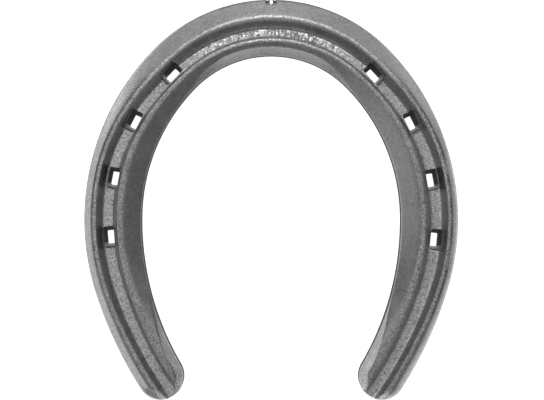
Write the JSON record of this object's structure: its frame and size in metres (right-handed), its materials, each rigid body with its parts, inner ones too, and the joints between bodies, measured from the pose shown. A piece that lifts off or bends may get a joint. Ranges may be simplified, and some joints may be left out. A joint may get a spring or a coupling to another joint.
{
  "type": "horseshoe",
  "caption": "Light steel horseshoe, ground side up, with a full crease, tapered rectangular nail holes, a rolled toe, a sloped seat and rounded heels.",
  "frame": {"origin": "centre of the shoe's box in X and Y, on the flat hoof face", "axes": "+Y to the toe, +X to the right branch as seen from the ground side, +Z out of the ground face"},
  "size_m": [0.13, 0.1398, 0.008],
  "materials": {
    "forged_steel": "as forged and tumbled, satin with a fine grain, rougher in the crease and on the rims"
  },
  "bodies": {
    "root": {"forged_shoe": "forged_steel"}
  },
  "joints": []
}
